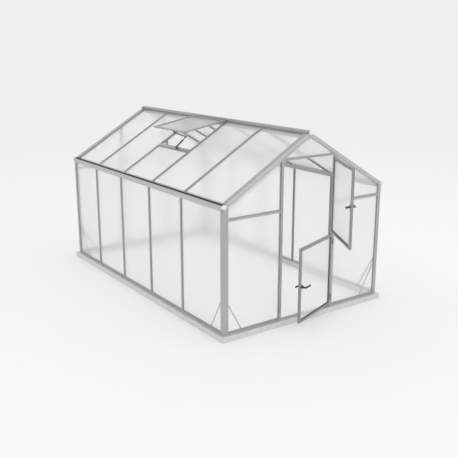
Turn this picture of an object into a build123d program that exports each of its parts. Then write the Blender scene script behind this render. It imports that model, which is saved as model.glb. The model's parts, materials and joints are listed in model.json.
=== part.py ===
"""Greenhouse of aluminium sections and twin-wall sheet: five bays long, with a
split door in the front gable and one open roof vent on the left slope.

The frame stands in the part's own axes: +Z up, the front gable faces -Y and the
house runs along +Y. The origin is in the middle of the front base rail's
underside, so the outer faces of the gable bars lie on y = 0.
"""
from build123d import *
import math
import os

# House, in millimetres and degrees
half_width = 1160.0
front_bay = 852.0
bay = 738.0
bay_count = 5
ridge_height = 2147.0
roof_pitch = 30.45
eave_drop = 34.0

# Base rails
base_height = 62.0
base_reach = 34.0
base_round = 5.0

# Sheets and the sections that hold them
sheet = 10.0
sheet_play = 0.3
cap_height = 8.0
cap_width = 28.0
cap_crown = 2.0
web_width = 8.0
flange = 3.4
fin_width = 6.0
section_depth = 34.0
groove_reach = 14.0
sheet_gap = 2.0

# Corner posts and verges
post_wing = 60.0
post_round = 20.0
wing_depth = 22.0
verge_rise = 12.0
verge_drop = 30.0
verge_leg = 78.0
verge_round = 14.0
corner_inset = 24.0

# Ridge
ridge_lip = 30.0
crown_half = 18.0
crown_neck = 8.0
crown_foot = 10.0
crown_top = 29.0
crown_round = 4.0
ridge_stem = 72.0

# Eave beam and gutter
gutter_out = 8.0
gutter_wall = 3.0
gutter_lip = 57.0
gutter_bead = 6.0
shelf_height = 18.0
trough_in = 44.0
stop_in = 50.0
beam_in = 80.0

# Gables
sill_height = 26.0
door_post_x = 388.0
door_post_width = 34.0
threshold_height = 12.0
head_drop = 267.0
head_height = 22.0
mid_rail_drop = 97.0706
mid_rail_height = 26.0
mid_groove = 9.0

# Foot braces
brace_width = 14.0
brace_thick = 3.0
gable_brace_top = 480.0
gable_brace_run = 227.0
side_brace_top = 540.0
side_brace_run = 287.0
brace_foot = 76.0

# Door leaves, drawn closed and then swung open about the hinge pins
leaf_bar = 26.0
leaf_play = 3.0
leaf_front = -4.0
leaf_groove = 12.0
lower_bottom = 96.0
lower_top = 956.0
upper_bottom = 988.0
upper_head_gap = 22.0
lower_open = 20.2
upper_open = 61.7

# Hinges on the right-hand door post
pin_x = 378.0
pin_y = -14.0
pin_radius = 3.0
pin_fit = 0.05
knuckle_radius = 7.0
knuckle_height = 20.0
knuckle_play = 0.5
plate_back = 8.0
plate_width = 24.0
hinge_inset = 90.0

# Lever handles
spindle_out = 690.0
spindle_radius = 4.0
spindle_fit = 0.05
rose_radius = 24.0
rose_sides = 8
rose_thick = 5.0
lever_stand = 47.0
lever_length = 109.0
catch_length = 48.0
lever_width = 15.0
lever_thick = 14.0
lever_bend = 10.0
lever_cut = 4.0
neck_play = 0.5
lower_handle_z = 508.0
upper_handle_z = 1440.0

# Ball caps at the ends of the eaves and the ridge
ball_radius = 27.0
ball_inset = 5.0
ball_over_eave = 44.0
ball_over_ridge = 5.0
ball_turn = (25, 35, 15)

# Roof vent in the third bay of the left slope
vent_bay_count = 2
vent_tilt = 9.95
vent_length = 634.0
vent_overlap = 10.0
vent_bar = 28.0
vent_thick = 18.0
vent_groove = 12.0
vent_start = 14.0
hinge_bead = 4.0
bead_play = 0.3
bead_height = 3.0
vent_sill_top = 640.0
vent_sill_width = 50.0

# Vent opener: pins at the sash, the elbow and the sill
opener_y = 1870.0
sash_pin_inset = 34.0
sash_pin_drop = 43.0
sill_pin_inset = 35.0
sill_pin_rise = 18.5
arm_length = 167.4
arm_fall = 20.3
opener_pin = 4.0
link_width = 14.0
arm_thick = 4.0
cylinder_radius = 11.0
cylinder_share = 0.72
eye_half = 9.0
ear_thick = 4.0
ear_gap = 13.0
pad_inset = 12.0
sash_pad_in = 2.0
sash_pad_out = 6.0
clevis_depth = 17.5
fork_play = 1.0

# Worked out from the sizes above
pitch = math.radians(roof_pitch)
eave_underside = ridge_height - half_width * math.tan(pitch) - eave_drop
mid_rail_z = eave_underside - mid_rail_drop
head_bottom = ridge_height - head_drop
upper_top = head_bottom - upper_head_gap
length = front_bay + bay * (bay_count - 1)
bar_places = [front_bay + bay * i for i in range(bay_count - 1)]
groove = sheet + 2 * sheet_play
seat_depth = cap_height + groove
sill_top = base_height + sill_height
sheet_foot = sill_top - groove_reach + sheet_play
middle = Plane.XZ.offset(-length / 2)
post_in = half_width - post_wing
door_post_in = door_post_x - door_post_width / 2
door_post_out = door_post_x + door_post_width / 2


def along_roof(distance, depth):
    """A point of the right slope: distance down from the ridge, depth below the outer plane."""
    x = distance * math.cos(pitch) - depth * math.sin(pitch)
    z = ridge_height - distance * math.sin(pitch) - depth * math.cos(pitch)
    return (x, z)


def roof_height(x, depth):
    """Height of the plane that lies depth below the slope's outer plane, above x."""
    return ridge_height - x * math.tan(pitch) - depth / math.cos(pitch)


def slope_plane(distance, y):
    """A plane square to the right slope: its X runs along +Y and its Y runs into the house."""
    x, z = along_roof(distance, 0)
    return Plane(origin=(x, y, z), x_dir=(0, 1, 0), z_dir=(-math.cos(pitch), 0, math.sin(pitch)))


def roof_cut(depth, side=1):
    """The plane that lies depth under one slope and faces up; side is 1 right and -1 left."""
    x, z = along_roof(0, depth)
    facing = (side * math.sin(pitch), 0, math.cos(pitch))
    return Plane(origin=(side * x, 0, z), x_dir=(0, 1, 0), z_dir=facing)


def save(builder, name):
    """Label a finished piece and write it as its own file."""
    builder.part.label = name
    export_step(builder.part, f"parts/{name}.step")


def mirrored(source, about):
    """The same piece on the other side of a plane."""
    with BuildPart() as other:
        mirror(source.part, about=about)
    return other


def with_mirror(source, about):
    """A piece and its twin on the other side of a plane, as solids of one node."""
    with BuildPart() as pair:
        add(source.part)
        mirror(source.part, about=about)
    return pair


# Roof bars meet the eave stop, and their inner flanges end on the eave beam
stop_distance = (half_width - stop_in) / math.cos(pitch)
cap_distance = (half_width - trough_in) / math.cos(pitch)
flange_distance = (half_width - beam_in + seat_depth * math.sin(pitch)) / math.cos(pitch)

os.makedirs("parts", exist_ok=True)


def base_rail(half_long):
    """One mitred base rail, lying along X with its outer face on -Y."""
    inner = half_long - base_reach
    outer = half_long + base_reach
    with BuildPart() as rail:
        with BuildSketch(Plane.XY):
            with BuildLine():
                Polyline(
                    (-outer, -base_reach),
                    (outer, -base_reach),
                    (inner, base_reach),
                    (-inner, base_reach),
                    close=True,
                )
            make_face()
        extrude(amount=base_height)
        top_edges = rail.edges().filter_by(Axis.X).group_by(Axis.Z)[-1]
        fillet(top_edges.sort_by(Axis.Y)[0], radius=base_round)
    return rail


base_front = base_rail(half_width)
save(with_mirror(base_front, middle), "base_ends")

side_rail = base_rail(length / 2)
with BuildPart() as base_right:
    with Locations(Location((half_width, length / 2, 0), (0, 0, 90))):
        add(side_rail.part)
save(with_mirror(base_right, Plane.YZ), "base_sides")


# Side sills: a groove along the top holds the feet of the wall sheets
with BuildPart() as right_sill:
    with BuildSketch(Plane.XZ.offset(-post_wing)):
        with Locations((half_width, base_height)):
            Rectangle(section_depth, sill_height, align=(Align.MAX, Align.MIN))
        with Locations((half_width - cap_height, sill_top)):
            Rectangle(groove, groove_reach, align=(Align.MAX, Align.MAX), mode=Mode.SUBTRACT)
    extrude(amount=-(length - 2 * post_wing))
side_sills = with_mirror(right_sill, Plane.YZ)
save(side_sills, "side_sills")


def gable_sill(x_from, x_to):
    """A sill in the front gable between two uprights, grooved along its top."""
    with BuildPart() as sill:
        with BuildSketch(Plane.YZ.offset(x_from)):
            with Locations((0, base_height)):
                Rectangle(section_depth, sill_height, align=(Align.MIN, Align.MIN))
            with Locations((cap_height, sill_top)):
                Rectangle(groove, groove_reach, align=(Align.MIN, Align.MAX), mode=Mode.SUBTRACT)
        extrude(amount=x_to - x_from)
    return sill


front_sill = gable_sill(door_post_out, post_in)
with BuildPart() as front_sills:
    add(front_sill.part)
    mirror(front_sill.part, about=Plane.YZ)
    with BuildSketch(Plane.XY.offset(base_height)):
        Rectangle(2 * door_post_in, section_depth, align=(Align.CENTER, Align.MIN))
    extrude(amount=threshold_height)
back_sill = mirrored(gable_sill(-post_in, post_in), middle)
with BuildPart() as gable_sills:
    add(front_sills.part)
    add(back_sill.part)
save(gable_sills, "gable_sills")


# Corner post: rounded outer corner, two glazing wings and an inner corner block
with BuildPart() as corner_post:
    with BuildSketch(Plane.XY.offset(base_height)):
        with BuildLine():
            gable_face = Line((post_in, 0), (half_width - post_round, 0))
            corner = CenterArc((half_width - post_round, post_round), post_round, -90, 90)
            Polyline(
                corner @ 1,
                (half_width, post_wing),
                (half_width - wing_depth, post_wing),
                (half_width - wing_depth, section_depth),
                (half_width - section_depth, section_depth),
                (half_width - section_depth, wing_depth),
                (post_in, wing_depth),
                gable_face @ 0,
            )
        make_face()
        with Locations((post_in, cap_height)):
            Rectangle(groove_reach, groove, align=(Align.MIN, Align.MIN), mode=Mode.SUBTRACT)
        with Locations((half_width - cap_height, post_wing)):
            Rectangle(groove, groove_reach, align=(Align.MAX, Align.MAX), mode=Mode.SUBTRACT)
    extrude(amount=eave_underside + post_wing - base_height)
    split(bisect_by=roof_cut(verge_drop), keep=Keep.BOTTOM)
    with BuildSketch(Plane.XY.offset(eave_underside)):
        with Locations((half_width, corner_inset)):
            Rectangle(post_wing, post_wing, align=(Align.MAX, Align.MIN))
    extrude(amount=post_wing, mode=Mode.SUBTRACT)
front_posts = with_mirror(corner_post, Plane.YZ)
corner_posts = with_mirror(front_posts, middle)
save(corner_posts, "corner_posts")


# Wall heads: a flat rail on each side wall, grooved below for the sheets; it floors the gutter
trough_x = half_width - trough_in
shelf = eave_underside + shelf_height
with BuildPart() as right_wall_head:
    with BuildSketch(Plane.XZ.offset(-corner_inset)):
        with Locations((half_width, eave_underside)):
            Rectangle(trough_in, shelf_height, align=(Align.MAX, Align.MIN))
        with Locations((half_width - cap_height, eave_underside)):
            Rectangle(groove, groove_reach, align=(Align.MAX, Align.MIN), mode=Mode.SUBTRACT)
    extrude(amount=-(length - 2 * corner_inset))
save(with_mirror(right_wall_head, Plane.YZ), "wall_heads")

# Eave beams inside the wall heads: inner wall of the gutter, sloping seat and stop for the roof sheets
stop_top = along_roof(stop_distance, cap_height)
stop_foot = along_roof(stop_distance, seat_depth)
beam_face = half_width - beam_in
with BuildPart() as right_eave_beam:
    with BuildSketch(Plane.XZ.offset(-corner_inset)):
        with BuildLine():
            Polyline(
                (trough_x, eave_underside),
                (trough_x, roof_height(trough_x, cap_height)),
                stop_top,
                stop_foot,
                (beam_face, roof_height(beam_face, seat_depth)),
                (beam_face, eave_underside),
                close=True,
            )
        make_face()
    extrude(amount=-(length - 2 * corner_inset))
save(with_mirror(right_eave_beam, Plane.YZ), "eave_beams")

# Gutters: outer wall on the wall head, with a bead turned in along its top
gutter_face = half_width + gutter_out
gutter_top = eave_underside + gutter_lip
with BuildPart() as right_gutter:
    with BuildSketch(Plane.XZ.offset(-corner_inset)):
        with BuildLine():
            Polyline(
                (half_width, eave_underside),
                (gutter_face, eave_underside),
                (gutter_face, gutter_top),
                (gutter_face - gutter_bead, gutter_top),
                (gutter_face - gutter_bead, gutter_top - gutter_wall),
                (gutter_face - gutter_wall, gutter_top - gutter_wall),
                (gutter_face - gutter_wall, shelf),
                (half_width, shelf),
                close=True,
            )
        make_face()
    extrude(amount=-(length - 2 * corner_inset))
save(with_mirror(right_gutter, Plane.YZ), "gutters")


# Ridge beam: lips over the top edges of the sheets, hinge channels beside the crown, a stem below
def ridge_half(sign):
    """Corner points of one half of the ridge section, from the crown down to the stem."""
    lip_back = ridge_lip - groove_reach
    stem_x = web_width / 2
    points = [
        (crown_half, ridge_height + crown_foot),
        (crown_neck, ridge_height + crown_foot),
        (crown_neck, roof_height(crown_neck, 0)),
        along_roof(ridge_lip, 0),
        along_roof(ridge_lip, cap_height),
        along_roof(lip_back, cap_height),
        along_roof(lip_back, seat_depth),
        along_roof(ridge_lip, seat_depth),
        along_roof(ridge_lip, seat_depth + flange),
        (stem_x, roof_height(stem_x, seat_depth + flange)),
        (stem_x, ridge_height - ridge_stem),
    ]
    return [(sign * x, z) for x, z in points]


with BuildPart() as ridge_beam:
    with BuildSketch(Plane.XZ.offset(-corner_inset)) as ridge_section:
        with BuildLine():
            Polyline(
                (-crown_half, ridge_height + crown_top),
                (crown_half, ridge_height + crown_top),
                *ridge_half(1),
                *reversed(ridge_half(-1)),
                close=True,
            )
        make_face()
        crown_corners = ridge_section.vertices().group_by(Axis.Y)[-1]
        fillet(crown_corners, radius=crown_round)
    extrude(amount=-(length - 2 * corner_inset))
save(ridge_beam, "ridge_beam")


# Verge: gable strip over the post and the gable sheets, and a roof leg over the end sheets
with BuildPart() as front_right_verge:
    with BuildSketch(slope_plane(half_width / math.cos(pitch) + post_wing, 0)):
        with BuildLine():
            roll = CenterArc((verge_round, verge_round - verge_rise), verge_round, 180, 90)
            Polyline(
                roll @ 1,
                (wing_depth, -verge_rise),
                (wing_depth, verge_drop),
                (0, verge_drop),
                roll @ 0,
            )
        make_face()
        with Locations((cap_height, verge_drop)):
            Rectangle(groove, groove_reach, align=(Align.MIN, Align.MAX), mode=Mode.SUBTRACT)
    extrude(amount=half_width / math.cos(pitch) + 2 * post_wing)
    split(bisect_by=Plane.YZ.offset(half_width), keep=Keep.BOTTOM)
    split(bisect_by=Plane.YZ, keep=Keep.TOP)
leg_out = verge_leg - wing_depth
with BuildPart() as front_verge_leg:
    with BuildSketch(slope_plane(cap_distance, wing_depth)):
        with Locations((0, -verge_rise)):
            Rectangle(leg_out, verge_rise + cap_height, align=(Align.MIN, Align.MIN))
    extrude(amount=cap_distance - ridge_lip)
    with BuildSketch(slope_plane(stop_distance, wing_depth)):
        with Locations((0, cap_height)):
            Rectangle(leg_out - groove_reach, groove, align=(Align.MIN, Align.MIN))
    extrude(amount=stop_distance - ridge_lip)
    with BuildSketch(slope_plane(flange_distance, wing_depth)):
        with Locations((0, seat_depth)):
            Rectangle(leg_out, flange, align=(Align.MIN, Align.MIN))
    extrude(amount=flange_distance - ridge_lip)
right_verges = with_mirror(front_right_verge, middle)
save(right_verges, "right_verges")
save(mirrored(right_verges, Plane.YZ), "left_verges")
right_verge_legs = with_mirror(front_verge_leg, middle)
save(right_verge_legs, "right_verge_legs")
save(mirrored(right_verge_legs, Plane.YZ), "left_verge_legs")


# Glazing bars: domed cap, web, inner flange and fin
with BuildPart() as right_wall_bars:
    for y in bar_places:
        bar_plane = Plane(origin=(half_width, y, sill_top), x_dir=(0, 1, 0), z_dir=(0, 0, 1))
        with BuildSketch(bar_plane):
            with BuildLine():
                dome = ThreePointArc((-cap_width / 2, cap_crown), (0, 0), (cap_width / 2, cap_crown))
                Polyline(
                    dome @ 1,
                    (cap_width / 2, cap_height),
                    (-cap_width / 2, cap_height),
                    dome @ 0,
                )
            make_face()
            with Locations((0, cap_height)):
                Rectangle(web_width, groove, align=(Align.CENTER, Align.MIN))
            with Locations((0, seat_depth)):
                Rectangle(cap_width, flange, align=(Align.CENTER, Align.MIN))
            with Locations((0, seat_depth + flange)):
                fin_depth = section_depth - seat_depth - flange
                Rectangle(fin_width, fin_depth, align=(Align.CENTER, Align.MIN))
        extrude(amount=eave_underside - sill_top)
save(with_mirror(right_wall_bars, Plane.YZ), "wall_bars")

with BuildPart() as right_roof_bars:
    for y in bar_places:
        with BuildSketch(slope_plane(cap_distance, y)):
            with BuildLine():
                dome = ThreePointArc((-cap_width / 2, cap_crown), (0, 0), (cap_width / 2, cap_crown))
                Polyline(
                    dome @ 1,
                    (cap_width / 2, cap_height),
                    (-cap_width / 2, cap_height),
                    dome @ 0,
                )
            make_face()
        extrude(amount=cap_distance - ridge_lip)
        with BuildSketch(slope_plane(stop_distance, y)):
            with Locations((0, cap_height)):
                Rectangle(web_width, groove, align=(Align.CENTER, Align.MIN))
        extrude(amount=stop_distance - ridge_lip)
        with BuildSketch(slope_plane(flange_distance, y)):
            with Locations((0, seat_depth)):
                Rectangle(cap_width, flange, align=(Align.CENTER, Align.MIN))
            with Locations((0, seat_depth + flange)):
                Rectangle(fin_width, fin_depth, align=(Align.CENTER, Align.MIN))
        extrude(amount=flange_distance - ridge_lip)
save(with_mirror(right_roof_bars, Plane.YZ), "roof_bars")


# Wall sheets: one to a bay, standing in the sill groove
sheet_edge = web_width / 2 + sheet_gap
wall_starts = [post_wing - groove_reach + sheet_gap] + [y + sheet_edge for y in bar_places]
wall_ends = [y - sheet_edge for y in bar_places] + [length - wall_starts[0]]
sheet_x = half_width - cap_height - sheet_play
sheet_head = eave_underside + groove_reach - sheet_gap
with BuildPart() as right_wall_sheets:
    with BuildSketch(Plane.XY.offset(sheet_foot)):
        for y_from, y_to in zip(wall_starts, wall_ends):
            with Locations((sheet_x, y_from)):
                Rectangle(sheet, y_to - y_from, align=(Align.MAX, Align.MIN))
    extrude(amount=sheet_head - sheet_foot)
save(right_wall_sheets, "right_wall_sheets")
left_wall_sheets = mirrored(right_wall_sheets, Plane.YZ)
save(left_wall_sheets, "left_wall_sheets")

# Roof sheets: one to a bay, from the ridge groove down to the eave stop
roof_start = verge_leg - groove_reach + sheet_gap
roof_starts = [roof_start] + [y + sheet_edge for y in bar_places]
roof_ends = [y - sheet_edge for y in bar_places] + [length - roof_start]
sheet_low = stop_distance - sheet_play
sheet_high = ridge_lip - groove_reach + sheet_gap
vent_sheet_high = vent_sill_top + vent_sill_width - groove_reach + sheet_gap
right_tops = [sheet_high] * bay_count
left_tops = [vent_sheet_high if i == vent_bay_count else sheet_high for i in range(bay_count)]


def roof_sheets(tops):
    """The sheets of the right slope, each starting at its own distance below the ridge."""
    with BuildPart() as sheets:
        for y_from, y_to, top in zip(roof_starts, roof_ends, tops):
            with BuildSketch(slope_plane(sheet_low, y_from)):
                with Locations((0, cap_height + sheet_play)):
                    Rectangle(y_to - y_from, sheet, align=(Align.MIN, Align.MIN))
            extrude(amount=sheet_low - top)
    return sheets


right_roof_sheets = roof_sheets(right_tops)
save(right_roof_sheets, "right_roof_sheets")
left_roof_sheets = mirrored(roof_sheets(left_tops), Plane.YZ)
save(left_roof_sheets, "left_roof_sheets")


# Door posts: grooved on the side of the fixed sheets, plain on the door side
post_height = ridge_height - base_height
with BuildPart() as right_door_post:
    with BuildSketch(Plane.XY.offset(base_height)):
        with Locations((door_post_in, 0)):
            Rectangle(door_post_width, section_depth, align=(Align.MIN, Align.MIN))
        with Locations((door_post_out, cap_height)):
            Rectangle(groove_reach, groove, align=(Align.MAX, Align.MIN), mode=Mode.SUBTRACT)
    extrude(amount=post_height)
    split(bisect_by=roof_cut(verge_drop), keep=Keep.BOTTOM)
door_posts = with_mirror(right_door_post, Plane.YZ)
save(door_posts, "door_posts")

# Back mullions stand on the back sill and are grooved on both sides
mullion_groove = door_post_width / 2 - web_width / 2
with BuildPart() as back_mullion:
    with BuildSketch(Plane.XY.offset(sill_top)):
        with Locations((door_post_in, 0)):
            Rectangle(door_post_width, section_depth, align=(Align.MIN, Align.MIN))
        with Locations((door_post_in, cap_height)):
            Rectangle(mullion_groove, groove, align=(Align.MIN, Align.MIN), mode=Mode.SUBTRACT)
        with Locations((door_post_out, cap_height)):
            Rectangle(mullion_groove, groove, align=(Align.MAX, Align.MIN), mode=Mode.SUBTRACT)
    extrude(amount=post_height)
    split(bisect_by=roof_cut(verge_drop), keep=Keep.BOTTOM)
back_mullions = mirrored(with_mirror(back_mullion, Plane.YZ), middle)
save(back_mullions, "back_mullions")

# Door head between the posts, under the two verges
with BuildPart() as door_head:
    with BuildSketch(Plane.YZ.offset(-door_post_in)):
        with Locations((0, head_bottom)):
            Rectangle(section_depth, head_height, align=(Align.MIN, Align.MIN))
        with Locations((cap_height, head_bottom + head_height)):
            Rectangle(groove, leaf_groove, align=(Align.MIN, Align.MAX), mode=Mode.SUBTRACT)
    extrude(amount=2 * door_post_in)
    split(bisect_by=roof_cut(verge_drop), keep=Keep.BOTTOM)
    split(bisect_by=roof_cut(verge_drop, -1), keep=Keep.BOTTOM)
save(door_head, "door_head")


def mid_rail(x_from, x_to):
    """A gable rail between two uprights, grooved along its top and its bottom."""
    with BuildPart() as rail:
        with BuildSketch(Plane.YZ.offset(x_from)):
            with Locations((section_depth / 2, mid_rail_z)):
                Rectangle(section_depth, mid_rail_height)
            with Locations((cap_height, mid_rail_z + mid_rail_height / 2)):
                Rectangle(groove, mid_groove, align=(Align.MIN, Align.MAX), mode=Mode.SUBTRACT)
            with Locations((cap_height, mid_rail_z - mid_rail_height / 2)):
                Rectangle(groove, mid_groove, align=(Align.MIN, Align.MIN), mode=Mode.SUBTRACT)
        extrude(amount=x_to - x_from)
    return rail


side_mid_rail = mid_rail(door_post_out, post_in)
front_mid_rails = with_mirror(side_mid_rail, Plane.YZ)
back_mid_rails = mirrored(front_mid_rails, middle)
centre_mid_rail = mirrored(mid_rail(-door_post_in, door_post_in), middle)
with BuildPart() as mid_rails:
    add(front_mid_rails.part)
    add(back_mid_rails.part)
    add(centre_mid_rail.part)
save(mid_rails, "mid_rails")

# Gable sheets, all in one plane behind the outer lips of their grooves
sheet_y = cap_height + sheet_play
low_sheet_top = mid_rail_z - mid_rail_height / 2 + mid_groove - sheet_gap
high_sheet_foot = mid_rail_z + mid_rail_height / 2 - mid_groove + sheet_play
side_sheet_in = door_post_out - groove_reach + sheet_gap
side_sheet_out = post_in + groove_reach - sheet_gap
sheet_drop = verge_drop - groove_reach + sheet_gap
head_sheet_foot = head_bottom + head_height - leaf_groove + sheet_play
head_sheet_half = door_post_in - sheet_play


def low_gable_sheet(x_from, x_to):
    """A sheet from the sill groove up into the mid rail."""
    with BuildPart() as panel:
        with BuildSketch(Plane.XZ.offset(-sheet_y)):
            with Locations((x_from, sheet_foot)):
                Rectangle(x_to - x_from, low_sheet_top - sheet_foot, align=(Align.MIN, Align.MIN))
        extrude(amount=-sheet)
    return panel


def high_gable_sheet(x_from, x_to, foot):
    """A sheet from a rail up into the groove of the verge; it may reach past the ridge line."""
    with BuildPart() as panel:
        with BuildSketch(Plane.XZ.offset(-sheet_y)):
            with Locations((x_from, foot)):
                Rectangle(x_to - x_from, ridge_height - foot, align=(Align.MIN, Align.MIN))
        extrude(amount=-sheet)
        split(bisect_by=roof_cut(sheet_drop), keep=Keep.BOTTOM)
        split(bisect_by=roof_cut(sheet_drop, -1), keep=Keep.BOTTOM)
    return panel


low_side = low_gable_sheet(side_sheet_in, side_sheet_out)
high_side = high_gable_sheet(side_sheet_in, side_sheet_out, high_sheet_foot)
with BuildPart() as front_gable_sheets:
    add(low_side.part)
    mirror(low_side.part, about=Plane.YZ)
    add(high_side.part)
    mirror(high_side.part, about=Plane.YZ)
    add(high_gable_sheet(-head_sheet_half, head_sheet_half, head_sheet_foot).part)
save(front_gable_sheets, "front_gable_sheets")

back_half = door_post_in + mullion_groove - sheet_gap
back_side_in = door_post_out - mullion_groove + sheet_gap
back_low = low_gable_sheet(back_side_in, side_sheet_out)
back_high = high_gable_sheet(back_side_in, side_sheet_out, high_sheet_foot)
with BuildPart() as gable_sheets:
    add(low_gable_sheet(-back_half, back_half).part)
    add(high_gable_sheet(-back_half, back_half, high_sheet_foot).part)
    add(back_low.part)
    mirror(back_low.part, about=Plane.YZ)
    add(back_high.part)
    mirror(back_high.part, about=Plane.YZ)
back_gable_sheets = mirrored(gable_sheets, middle)
save(back_gable_sheets, "back_gable_sheets")


# Foot braces: flat strips inside each corner, one on the gable and one on the side wall
with BuildPart() as corner_braces:
    brace_x = half_width - section_depth + brace_thick
    with BuildSketch(Plane.XZ.offset(-section_depth)):
        with BuildLine():
            Line((brace_x, gable_brace_top), (brace_x - gable_brace_run, brace_foot))
        trace(line_width=brace_width)
    extrude(amount=-brace_thick)
    with BuildSketch(Plane.YZ.offset(half_width - section_depth)):
        with BuildLine():
            Line((half_width - brace_x, side_brace_top), (side_brace_run + brace_thick, brace_foot))
        trace(line_width=brace_width)
    extrude(amount=-brace_thick)
foot_braces = with_mirror(with_mirror(corner_braces, Plane.YZ), middle)
save(foot_braces, "foot_braces")


# Door hinges: the post carries the pin and two knuckles, the leaf one knuckle between them
hinge_heights = [
    lower_bottom + hinge_inset,
    lower_top - hinge_inset,
    upper_bottom + hinge_inset,
    upper_top - hinge_inset,
]
knuckle_step = knuckle_height + knuckle_play
with BuildPart() as post_hinges:
    for z in hinge_heights:
        for side in (-1, 1):
            with BuildSketch(Plane.XY.offset(z + side * knuckle_step - knuckle_height / 2)):
                with Locations((pin_x, pin_y)):
                    Circle(knuckle_radius)
                with Locations((pin_x, 0)):
                    Rectangle(plate_width, plate_back, align=(Align.MIN, Align.MAX))
            extrude(amount=knuckle_height)
        pin_reach = knuckle_step + knuckle_height / 2
        with BuildSketch(Plane.XY.offset(z - pin_reach)):
            with Locations((pin_x, pin_y)):
                Circle(pin_radius)
        extrude(amount=2 * pin_reach)
save(post_hinges, "post_hinges")


# Door leaves: grooved stiles over the full height, rails between them, one sheet
leaf_half = door_post_in - leaf_play
leaf_clear = leaf_half - leaf_bar
leaf_middle = leaf_front + leaf_bar / 2
hinge_axis = Axis((pin_x, pin_y, 0), (0, 0, 1))
spindle_x = pin_x - spindle_out
sheet_front = leaf_middle - sheet / 2
sheet_back = leaf_middle + sheet / 2


def swing(source, angle):
    """A piece of a closed leaf, swung open about the hinge pins."""
    with BuildPart() as swung:
        add(source.part.rotate(hinge_axis, angle))
    return swung


def leaf_stiles(bottom, top):
    """Both uprights of a leaf, grooved for its sheet."""
    with BuildPart() as right_stile:
        with BuildSketch(Plane.XY.offset(bottom)):
            with Locations((leaf_clear, leaf_front)):
                Rectangle(leaf_bar, leaf_bar, align=(Align.MIN, Align.MIN))
            with Locations((leaf_clear, leaf_middle)):
                Rectangle(leaf_groove, groove, align=(Align.MIN, Align.CENTER), mode=Mode.SUBTRACT)
        extrude(amount=top - bottom)
    with BuildPart() as stiles:
        add(right_stile.part)
        mirror(right_stile.part, about=Plane.YZ)
    return stiles


def leaf_rails(bottom, top):
    """Bottom and top rail of a leaf, grooved towards its sheet."""
    with BuildPart() as rails:
        with BuildSketch(Plane.YZ.offset(-leaf_clear)):
            with Locations((leaf_middle, bottom)):
                Rectangle(leaf_bar, leaf_bar, align=(Align.CENTER, Align.MIN))
            with Locations((leaf_middle, top)):
                Rectangle(leaf_bar, leaf_bar, align=(Align.CENTER, Align.MAX))
            with Locations((leaf_middle, bottom + leaf_bar)):
                Rectangle(groove, leaf_groove, align=(Align.CENTER, Align.MAX), mode=Mode.SUBTRACT)
            with Locations((leaf_middle, top - leaf_bar)):
                Rectangle(groove, leaf_groove, align=(Align.CENTER, Align.MIN), mode=Mode.SUBTRACT)
        extrude(amount=2 * leaf_clear)
    return rails


def leaf_sheet(bottom, top, handle_z):
    """The sheet of a leaf, standing in the bottom rail's groove, bored for the spindle."""
    foot = bottom + leaf_bar - leaf_groove + sheet_play
    head = top - leaf_bar + leaf_groove - sheet_gap
    reach = leaf_clear + leaf_groove - sheet_gap
    with BuildPart() as panel:
        with BuildSketch(Plane.XY.offset(foot)):
            with Locations((0, leaf_middle)):
                Rectangle(2 * reach, sheet)
        extrude(amount=head - foot)
        with BuildSketch(Plane.XZ.offset(-leaf_front)):
            with Locations((spindle_x, handle_z)):
                Circle(spindle_radius + sheet_gap)
        extrude(amount=-leaf_bar, mode=Mode.SUBTRACT)
    return panel


def leaf_hinges(bottom, top):
    """The leaf's knuckles, bored for the pins, each with a plate on the stile."""
    with BuildPart() as hinges:
        for z in (bottom + hinge_inset, top - hinge_inset):
            with BuildSketch(Plane.XY.offset(z - knuckle_height / 2)):
                with Locations((pin_x, pin_y)):
                    Circle(knuckle_radius)
                with Locations((pin_x, leaf_front)):
                    Rectangle(pin_x - leaf_clear, plate_back + leaf_front, align=(Align.MAX, Align.MAX))
                with Locations((pin_x, pin_y)):
                    Circle(pin_radius + pin_fit, mode=Mode.SUBTRACT)
            extrude(amount=knuckle_height)
    return hinges


def handle_roses(handle_z):
    """Eight-sided plates on both faces of the sheet, beside the free stile, around the spindle."""
    with BuildPart() as roses:
        for face in (sheet_front, sheet_back + rose_thick):
            with BuildSketch(Plane.XZ.offset(-face)):
                with Locations((spindle_x, handle_z)):
                    RegularPolygon(rose_radius, rose_sides)
                    Circle(spindle_radius + spindle_fit, mode=Mode.SUBTRACT)
            extrude(amount=rose_thick)
    return roses


def lever_pair(handle_z):
    """A long lever outside, towards the hinges, and a short catch inside, towards the free edge."""
    outer_bar = sheet_front - lever_stand
    inner_bar = sheet_back + lever_stand
    with BuildPart() as levers:
        with BuildSketch(Plane.XZ.offset(-outer_bar)):
            with Locations((spindle_x, handle_z)):
                Circle(spindle_radius)
        extrude(amount=-(inner_bar - outer_bar))
        for neck_y, bar_y, tip_x in (
            (sheet_front - rose_thick - neck_play, outer_bar, spindle_x + lever_length),
            (sheet_back + rose_thick + neck_play, inner_bar, spindle_x - catch_length),
        ):
            with BuildSketch(Plane.XY.offset(handle_z - lever_width / 2)):
                with BuildLine():
                    FilletPolyline((spindle_x, neck_y), (spindle_x, bar_y), (tip_x, bar_y), radius=lever_bend)
                trace(line_width=lever_thick)
            extrude(amount=lever_width)
        upright_edges = levers.edges().filter_by(Axis.Z).group_by(Axis.X)
        chamfer(upright_edges[0] + upright_edges[-1], length=lever_cut)
    return levers


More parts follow.
